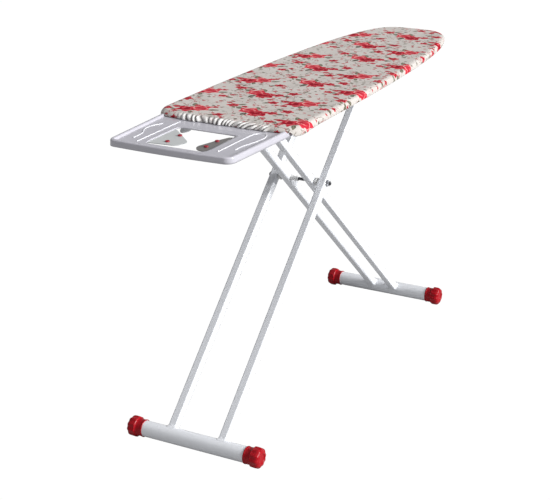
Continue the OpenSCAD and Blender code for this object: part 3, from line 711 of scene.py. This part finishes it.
    ring = loop[None] + out[None] * e[..., None]
    edge = np.concatenate([ring, z[..., None]], -1)
    step = np.linalg.norm(np.diff(edge, axis=0), axis=2)
    beyond = np.concatenate([np.zeros((1, cols)), np.cumsum(step, axis=0)])
    start = loop - out * roll
    edge_flat = start[None] + out[None] * beyond[..., None]

    share = np.linspace(0, 1, top_rows + 1)[:-1, None, None] ** 0.7
    spine = spine_of(start)
    top_xy = spine[None] + share * (ring[:1] - spine[None])
    wave_h = 0.00035
    wave = wave_h * (np.sin(top_xy[..., 0] * 41 + 3 * np.sin(top_xy[..., 1] * 19))
                     + np.sin(top_xy[..., 1] * 57 + 2 * np.sin(top_xy[..., 0] * 13)))
    near_edge = share[..., 0] ** 8
    level = TOP_Z - 0.0003
    top_z = level + wave * (1 - near_edge) + (z[:1] - level) * near_edge
    top = np.concatenate([top_xy, top_z[..., None]], -1)
    points = np.concatenate([top, edge]).reshape(-1, 3)
    flat = np.concatenate([top_xy, edge_flat]).reshape(-1, 2)
    fold = np.concatenate([near_edge * painted_valley_shade[:1] * 0.7, painted_valley_shade])
    pale = np.concatenate([near_edge * pale[:1], pale])
    return points, grid_faces(top_rows + rows, cols), flat, fold, pale


def slab_shape(inset, low, high, roll):
    """A padded slab inside the board's outline: flat faces joined by a half-ellipse edge."""
    cols, rows = 360, 22
    loop, out, _, _ = board_loop(cols)
    ring = loop - out * inset
    spine = spine_of(ring)
    share = np.linspace(0, 1, rows)[:, None, None]
    inner = ring - out * roll
    face = spine[None] + share * (inner - spine)[None]
    a = np.linspace(-math.pi / 2, math.pi / 2, 12)[1:-1]
    mid, half = (low + high) / 2, (high - low) / 2
    edge = inner[None] + out[None] * (roll * np.cos(a))[:, None, None]
    edge_z = mid + half * np.sin(a)
    xy = np.concatenate([face, edge, face[::-1]])
    z = np.concatenate([np.full(rows, low), edge_z, np.full(rows, high)])[:, None] * np.ones(cols)
    return np.concatenate([xy, z[..., None]], -1).reshape(-1, 3), grid_faces(len(z), cols)


def tray_loop(count):
    """Outline of the tray, clockwise from the board end: straight sides, round corners and an
    outer edge bowed by bulge * (y / half)^2."""
    cy = TRAY_HALF_OUT - TRAY_CORNER_R
    cx = TRAY_OUT_X + TRAY_BULGE + TRAY_CORNER_R
    a = np.linspace(math.pi / 2, math.pi, 24)
    corner = np.stack([cx + TRAY_CORNER_R * np.cos(a), cy + TRAY_CORNER_R * np.sin(a)], -1)
    y = np.linspace(cy, 0, 40)[1:]
    front = np.stack([TRAY_OUT_X + TRAY_BULGE * (y / cy) ** 2, y], -1)
    half = np.vstack([[[TRAY_IN_X, 0.0], [TRAY_IN_X, TRAY_HALF_IN]], corner, front])
    return evenly(np.vstack([half, half[-2:0:-1] * [1, -1]])[::-1], count)[0]


def tray_shape():
    """Upper skin of the tray: skirt, rounded bead and floor, in rings from the skirt's lower edge
    to the cut-out. The floor is a straight blend between the bead's ring and the cut-out's ring."""
    cols, floor_rows = 600, 15
    bead_r, crown_r = 0.0045, 0.0042
    loop = tray_loop(cols)
    out = outward_of(loop)
    at_board = smooth(loop[:, 0], BEAD_END_X - 0.004, BEAD_END_X)
    a = np.linspace(0, math.pi / 2, 7)[1:]
    skirt_h = 0.0155
    skirt = TRAY_BEAD_Z - skirt_h
    # bead profile, from the skirt's foot, over the crown, to the floor
    e = np.concatenate([[0.0008, 0.0004, 0.0], -bead_r * (1 - np.cos(a)), [-0.006],
                        -0.0075 - bead_r * np.sin(a)])
    crown = np.concatenate([[skirt, skirt + 0.005, TRAY_BEAD_Z - crown_r],
                            TRAY_BEAD_Z - crown_r * (1 - np.sin(a)), [TRAY_BEAD_Z],
                            TRAY_FLOOR_Z + 0.005 * np.cos(a) ** 1.2])
    low = np.minimum(crown, TRAY_FLOOR_Z)
    z = crown[:, None] * (1 - at_board) + low[:, None] * at_board
    # the bead's offsets shrink at the board end, where the outline turns sharply
    at_end = 1 - 0.85 * smooth(loop[:, 0], TRAY_IN_X - 0.026, TRAY_IN_X - 0.010)
    bead = np.concatenate([loop[None] + out[None] * (e[:, None] * at_end)[..., None], z[..., None]], -1)
    inner = bead[-1, :, :2]
    # cut-out: the ray from its middle meets a rectangle with round corners
    centre = np.array([(CUT_X0 + CUT_X1) / 2, 0.0])
    ray = unit(inner - centre)
    reach = square_reach(ray[:, 0], ray[:, 1], (CUT_X1 - CUT_X0) / 2, CUT_HALF, 14.0)
    hole = centre + ray * reach[:, None]
    share = np.linspace(0, 1, floor_rows + 1)[1:, None, None]
    floor_xy = inner[None] + share * (hole - inner)[None]
    lip = 0.0006 * np.clip(1 - (1 - share[..., 0]) * 14, 0, 1)
    floor_z = TRAY_FLOOR_Z + lip + np.zeros(cols)
    floor = np.concatenate([floor_xy, floor_z[..., None]], -1)
    points = np.concatenate([bead, floor]).reshape(-1, 3)
    return points, grid_faces(len(e) + floor_rows, cols)


def raised_lines(s):
    """Raised lines of the tray floor: on the far side an S-curve beside a straight line, on the
    near side one hairpin whose long leg runs along the cut-out. Their section is half an ellipse on
    a short foot, and their knots are in mm from the cut-out's corners."""
    a = np.linspace(0, math.pi, 9)
    half, foot = s.line_width / 2, -0.0006
    arch = np.stack([-np.cos(a) * half, np.sin(a) * s.line_height], -1)
    section = np.vstack([arch, [[half, foot], [-half, foot]]])
    far_s = [(24, 46), (45, 46), (66, 49), (88, 60), (110, 64), (132, 60), (152, 49)]
    far_line = [(4, 22), (70, 22), (130, 22.5), (184, 22)]
    near_pin = [(18, -24), (80, -25), (140, -26), (166, -28), (182, -37), (180, -55), (160, -64),
                (132, -64), (100, -58), (74, -52), (45, -52)]
    parts = []
    for knots in (far_s, far_line, near_pin):
        places = [(CUT_X0 + x * MM, y * MM + math.copysign(CUT_HALF, y), TRAY_FLOOR_Z) for x, y in knots]
        parts.append(swept(rounded_line(places, 160), section))
    return joined(parts)


def tab_shape():
    """A small leaf-shaped tab on the inner edge of the cut-out: a slab whose outline is an oval
    drawn out to a point."""
    mid_x, mid_y, cols = CUT_X1 - 0.012, 0.055, 64
    a = np.arange(cols) / cols * 2 * math.pi
    x = 0.019 * np.cos(a)
    y = 0.0125 * np.sin(a) * (1 + 0.35 * np.cos(a)) + 0.004 * np.cos(a)
    # share of the outline, height in mm
    rings = np.array([(0, 0), (0.92, 0), (1, 0.4), (1, 1.8), (0.92, 2.2), (0, 2.2)])
    z = TRAY_FLOOR_Z - 0.0028 + rings[:, 1:] * MM * np.ones(cols)
    points = np.stack([mid_x + rings[:, :1] * x, mid_y + rings[:, :1] * y, z], -1)
    return points.reshape(-1, 3), grid_faces(len(rings), cols)


def cap_shape(node, side, s):
    """A foot cap: a collar with a lip, a waist and a lobed head with a dished end.
    Head radius = r - 1.3 depth * (0.5 + 0.5 cos(lobes * angle)) ^ 0.8, faded out towards the axis.
    The profile is (radius, distance from the cap's mouth)."""
    cols, rows = 200, 70
    low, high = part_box(node)
    mouth = low.y if side > 0 else high.y
    head_r = (high.z - low.z) / 2 + 0.0006
    neck = 0.020
    collar = np.array([(20.7, 0), (21.7, 0), (22.5, 0.8), (22.5, 3), (21.6, 4.2), (21.6, 15), (21.9, 17.5),
                       (23, 19.2)]) * MM
    head = np.array([(-2.2, 0), (-0.8, 0.6), (-0.1, 2.2), (0, 4.5), (0, 10), (-0.2, 14.5), (-1, 17.5),
                     (-2.6, 20.2), (-5, 22.2), (-8, 23.4), (-11, 24), (-13, 24), (-14.2, 23.2),
                     (-15, 22)]) * MM + (head_r, neck)
    dish = np.array([(6, 41.8), (0, 41.8)]) * MM
    profile = denser(np.vstack([collar, head, dish]), rows)
    base, along = profile[:, :1], profile[:, 1:]
    a = np.arange(cols)[None] / cols * 2 * math.pi
    deep = smooth(along, neck - 0.001, neck + 0.003) * smooth(base, head_r - 0.016, head_r - 0.004)
    r = base - 1.3 * s.lobe_depth * deep * (0.5 + 0.5 * np.cos(s.lobes * a)) ** 0.8
    x = (low.x + high.x) / 2 + r * np.sin(a)
    z = (low.z + high.z) / 2 + r * np.cos(a)
    y = mouth + side * along * np.ones(cols)
    return np.stack([x, y, z], -1).reshape(-1, 3), grid_faces(rows, cols)


def weld_shape(foot, y, lean, width):
    """A weld fillet where a square leg tube meets its round foot bar.
    Round the tube's outline (u, v) the bar's surface lies at t = sqrt(R^2 - u^2) along the tube;
    the fillet's section is a quadratic curve from the tube's wall down to the bar."""
    low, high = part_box(foot)
    cx, cz, radius = (low.x + high.x) / 2, (low.z + high.z) / 2, (high.z - low.z) / 2
    a = np.linspace(0, 2 * math.pi, 120, endpoint=False)
    reach = square_reach(np.cos(a), np.sin(a), TUBE_W / 2, TUBE_W / 2, 6.0)
    lift = np.linspace(0, 1, 7)[:, None]
    bead = width * (1 + 0.12 * np.sin(a * 34))
    # the curve from the wall to the bar, then two rings that lie inside both metals
    ones = np.ones((1, len(a)))
    off = np.vstack([lift ** 2 * bead, ones * width * 0.6, ones * -0.0008])
    up = np.vstack([(1 - lift) ** 2 * 1.3 * bead, ones * -0.0012, ones * width * 1.1])
    u, v = (reach + off) * np.cos(a), (reach + off) * np.sin(a)
    t = np.sqrt(np.clip(radius ** 2 - u ** 2, 1e-9, None)) + up
    x = cx + u * math.cos(lean) + t * math.sin(lean)
    z = cz - u * math.sin(lean) + t * math.cos(lean)
    return np.stack([x, y + v, z], -1).reshape(-1, 3), grid_faces(len(off), len(a), wrap_rows=True)


def stud_shape(node):
    """A heat-proof stud: a round button with a soft rim and a shallow dish on top.
    The profile is (share of the radius, share of the height)."""
    count = 40
    low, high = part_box(node)
    cx, cy, r = (low.x + high.x) / 2, (low.y + high.y) / 2, (high.x - low.x) / 2
    profile = denser(np.array([(0, 0), (0.9, 0), (1, 0.15), (1, 0.5), (0.96, 0.75), (0.86, 0.94),
                               (0.74, 1), (0.6, 0.97), (0.3, 0.9), (0, 0.88)]), count)
    profile = profile * (r, high.z - low.z)
    a = np.arange(count) / count * 2 * math.pi
    x, y = cx + profile[:, :1] * np.cos(a), cy + profile[:, :1] * np.sin(a)
    z = low.z + profile[:, 1:] * np.ones(count)
    return np.stack([x, y, z], -1).reshape(-1, 3), grid_faces(count, count)


# ---------------------------------------------------------------- operators
class OBJECT_OT_ironing_cover(bpy.types.Operator):
    """Build the printed cotton cover with its gathers and turned-in elastic hem"""
    bl_idname = "object.ironing_cover"
    bl_label = "Cover"

    def execute(self, context):
        s = context.scene.ironing_cover
        points, faces, flat, fold, pale = cover_shape(s)
        # Stores the painted shade of the gather hollows and the whitening of the gathered cloth, partly
        # painted highlight, for the material.
        obj = mark_points(make_mesh("cotton_cover", points, faces, flat), fold=fold, pale=pale)
        close_seams(obj)
        wall = obj.modifiers.new("cloth", "SOLIDIFY")
        wall.thickness, wall.offset = 0.0008, -1.0
        finish_piece(obj, "board", cotton_print(s))
        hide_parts("cover")
        return {"FINISHED"}


class OBJECT_OT_ironing_pad(bpy.types.Operator):
    """Build the felt pad between the cover and the steel top"""
    bl_idname = "object.ironing_pad"
    bl_label = "Pad"

    def execute(self, context):
        shape = slab_shape(0.0022, PAD_LOW.z, PAD_HIGH.z - 0.0003, 0.010)
        obj = closed_piece("felt_pad", shape, "board", felt_wool())
        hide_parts("pad")
        return {"FINISHED"}


class OBJECT_OT_ironing_tray(bpy.types.Operator):
    """Build the moulded iron tray with its bead, skirt, cut-out, raised lines and studs"""
    bl_idname = "object.ironing_tray"
    bl_label = "Iron tray"

    def execute(self, context):
        s = context.scene.ironing_tray
        marks = bpy.data.node_groups["surface_marks"]
        shell = make_mesh("tray_shell", *tray_shape())
        wall = shell.modifiers.new("wall", "SOLIDIFY")
        wall.thickness, wall.offset = s.wall, -1.0
        plastic = moulded(marks, "tray_plastic", s.tray_colour, 0.28, 0.35)
        finish_piece(shell, "board", plastic)
        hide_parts("iron_tray")
        # Painted highlight: the raised lines take a lighter copy of the tray plastic for their lit crests.
        raised = moulded(marks, "line_plastic_highlight", s.line_highlight_colour, 0.22, 0.4)
        closed_piece("tray_raised_lines", raised_lines(s), "board", raised)
        grey = moulded(marks, "tab_grey", (0.22, 0.22, 0.23), 0.30, 0.3)
        closed_piece("tray_tab", tab_shape(), "board", grey)
        rubber = moulded(marks, "stud_silicone", s.stud_colour, 0.38, 0.1)
        for k in range(1, 5):
            node = f"rest_stud_{k}"
            stud = closed_piece(f"silicone_stud_{k}", stud_shape(node), "board", rubber)
            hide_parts(node)
        dress("rest_lobe_left", moulded(marks, "lobe_pale", (0.58, 0.60, 0.60), 0.18, 0.5))
        # Painted shade: the right lobe takes a dark grey copy of the light grey lobe plastic, standing in
        # for the shade on it.
        dress("rest_lobe_right", moulded(marks, "lobe_painted_shade", (0.16, 0.15, 0.145), 0.30, 0.3))
        return {"FINISHED"}


class OBJECT_OT_ironing_feet(bpy.types.Operator):
    """Build the foot caps and the welds between the legs and the foot bars"""
    bl_idname = "object.ironing_feet"
    bl_label = "Foot caps and welds"

    def execute(self, context):
        s = context.scene.ironing_frame
        marks = bpy.data.node_groups["surface_marks"]
        red = moulded(marks, "cap_plastic", s.cap_colour, 0.30, 0.04, 380.0, 0.00006, 0.22)
        white = bpy.data.materials["powder_coat"]
        for body in ("inner", "outer"):
            for name, side in (("left", 1), ("right", -1)):
                node = f"{body}_foot_cap_{name}"
                cap = closed_piece(f"{body}_lobed_cap_{name}", cap_shape(node, side, s),
                                   f"{body}_frame", red)
                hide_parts(node)
                low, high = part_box(f"{body}_tube_{name}")
                lean = LEG_LEAN * (1 if body == "outer" else -1)
                weld = weld_shape(f"{body}_foot_bar", (low.y + high.y) / 2, lean, s.weld)
                closed_piece(f"{body}_weld_{name}", weld, f"{body}_frame", white)
        return {"FINISHED"}


def both(*names):
    """The left and the right node of each name."""
    return [f"{name}_{side}" for name in names for side in ("left", "right")]


def dress(node, material):
    """Gives a CAD node its material."""
    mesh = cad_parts[node].data
    mesh.materials.clear()
    mesh.materials.append(material)


class OBJECT_OT_ironing_finishes(bpy.types.Operator):
    """Give every carried-over steel and plastic part its finish"""
    bl_idname = "object.ironing_finishes"
    bl_label = "Finishes"

    def execute(self, context):
        s = context.scene.ironing_frame
        marks = make_surface_group()
        white = powder_coat(marks, s.white)
        zinc = zinc_plate(marks, "zinc_plate", (0.56, 0.57, 0.59), 0.26)
        dark = zinc_plate(marks, "dark_steel", (0.12, 0.12, 0.13), 0.30)
        sheet_metal = zinc_plate(marks, "galvanised_sheet", (0.60, 0.61, 0.62), 0.36)
        nylon = moulded(marks, "white_nylon", (0.74, 0.74, 0.73), 0.35, 0.1)
        black = moulded(marks, "black_plastic", (0.018, 0.018, 0.02), 0.38, 0.1)
        red = moulded(marks, "grip_plastic", s.cap_colour, 0.30, 0.4)
        finishes = {
            white: both("rib", "tray_arm", "pivot_bracket", "slide_rail", "inner_tube", "outer_tube")
            + ["inner_foot_bar", "outer_foot_bar"],
            zinc: ["lever_bracket", "lever_guide", "lever_plate", "lever_rod", "inner_pivot_rod",
                   "outer_slide_bar", "axle_washer", "axle_nut"]
            + [f"{name}_{k}" for name in ("tray_screw", "arm_rivet") for k in range(1, 5)],
            dark: ["lever_spring", "scissor_axle"],
            sheet_metal: ["top_panel", *both("rim")],
            nylon: ["axle_sleeve", *both("axle_spacer")],
            black: both("rod_cap", "slide_bush"),
            red: ["lever_grip"],
        }
        for material, nodes in finishes.items():
            for node in nodes:
                dress(node, material)
        return {"FINISHED"}


class SCENE_OT_ironing_stage(bpy.types.Operator):
    """Set the floor, the soft lights and the camera"""
    bl_idname = "scene.ironing_stage"
    bl_label = "Stage"

    def execute(self, context):
        s = context.scene.ironing_stage
        scene = context.scene
        half = 15.0
        corners = [(-half, -half, 0), (half, -half, 0), (half, half, 0), (-half, half, 0)]
        floor = make_mesh("floor", corners, np.array([[0, 1, 2, 3]]))
        m, w, shader = new_material("floor_paper", Roughness=0.9, Specular_IOR_Level=0.1)
        grain = w.noise(object_coords(w), 3.0, 3.0)["Fac"]
        w.put(shader.inputs["Base Color"], w.mix(grain, rgba(s.floor_colour), rgba(s.floor_colour, 0.99)))
        lit = w.node("Emission", {"Color": (1.0, 1.0, 1.0, 1), "Strength": 1.02}).outputs[0]
        seen = w.node("LightPath").outputs["Is Camera Ray"]
        paper = w.node("MixShader", {0: seen, 1: shader.outputs[0], 2: lit}).outputs[0]
        clear = w.node("BsdfTransparent").outputs[0]
        below = w.node("NewGeometry").outputs["Backfacing"]
        pick = w.node("MixShader", {0: below, 1: paper, 2: clear})
        w.put(m.node_tree.nodes["Material Output"].inputs["Surface"], pick.outputs[0])
        floor.data.materials.append(m)

        world = bpy.data.worlds.new("studio")
        scene.world = world
        world.use_nodes = True
        back = world.node_tree.nodes["Background"]
        back.inputs["Color"].default_value = (0.97, 0.98, 1.0, 1)
        back.inputs["Strength"].default_value = s.sky
        for name, aim, power, spread in (("key", (-0.12, 0.91, -0.41), s.key_power, 26.0),
                                         ("top", (0.25, 0.10, -1.0), s.key_power * 0.09, 70.0)):
            light = bpy.data.lights.new(name, "SUN")
            light.energy, light.angle = power, math.radians(spread)
            lamp = bpy.data.objects.new(name, light)
            lamp.location = (0.0, -3.0, 3.0)
            lamp.rotation_mode = "QUATERNION"
            lamp.rotation_quaternion = Vector(aim).to_track_quat("-Z", "Y")
            scene.collection.objects.link(lamp)

        camera = bpy.data.objects.new("camera", bpy.data.cameras.new("camera"))
        camera.data.lens, camera.data.sensor_width = s.lens, 36.0
        camera.data.shift_x = -0.1159
        camera.data.clip_start, camera.data.clip_end = 0.1, 60.0
        camera.location = (-3.0986, -1.6437, 1.6892)
        camera.rotation_mode = "QUATERNION"
        camera.rotation_quaternion = Vector((0.83137, 0.41901, -0.36503)).to_track_quat("-Z", "Y")
        scene.collection.objects.link(camera)
        scene.camera = camera
        scene.view_settings.view_transform = "Standard"
        return {"FINISHED"}


class VIEW3D_PT_ironing_board(bpy.types.Panel):
    """Steps and settings of the ironing board"""
    bl_label = "Ironing Board"
    bl_idname = "VIEW3D_PT_ironing_board"
    bl_space_type = "VIEW_3D"
    bl_region_type = "UI"
    bl_category = "Ironing Board"

    def draw(self, context):
        for title, operator in STEPS:
            self.layout.operator(operator, text=title)
        for group in ("ironing_cover", "ironing_tray", "ironing_frame", "ironing_stage"):
            box = self.layout.box()
            settings = getattr(context.scene, group)
            for name in settings.bl_rna.properties.keys():
                if name not in ("rna_type", "name"):
                    box.prop(settings, name)


STEPS = [("Finishes", "object.ironing_finishes"), ("Cover", "object.ironing_cover"),
         ("Pad", "object.ironing_pad"), ("Iron tray", "object.ironing_tray"),
         ("Foot caps and welds", "object.ironing_feet"), ("Stage", "scene.ironing_stage")]
SETTINGS = {"ironing_cover": IroningCoverSettings, "ironing_tray": IroningTraySettings,
            "ironing_frame": IroningFrameSettings, "ironing_stage": IroningStageSettings}
CLASSES = [*SETTINGS.values(), OBJECT_OT_ironing_finishes, OBJECT_OT_ironing_cover, OBJECT_OT_ironing_pad,
           OBJECT_OT_ironing_tray, OBJECT_OT_ironing_feet, SCENE_OT_ironing_stage, VIEW3D_PT_ironing_board]


def register():
    for cls in CLASSES:
        bpy.utils.register_class(cls)
    for name, cls in SETTINGS.items():
        setattr(bpy.types.Scene, name, PointerProperty(type=cls))


def unregister():
    for name in SETTINGS:
        delattr(bpy.types.Scene, name)
    for cls in reversed(CLASSES):
        bpy.utils.unregister_class(cls)


def main():
    register()
    bpy.ops.object.ironing_finishes()
    bpy.ops.object.ironing_cover()
    bpy.ops.object.ironing_pad()
    bpy.ops.object.ironing_tray()
    bpy.ops.object.ironing_feet()
    bpy.ops.scene.ironing_stage()


if __name__ == "__main__":
    main()
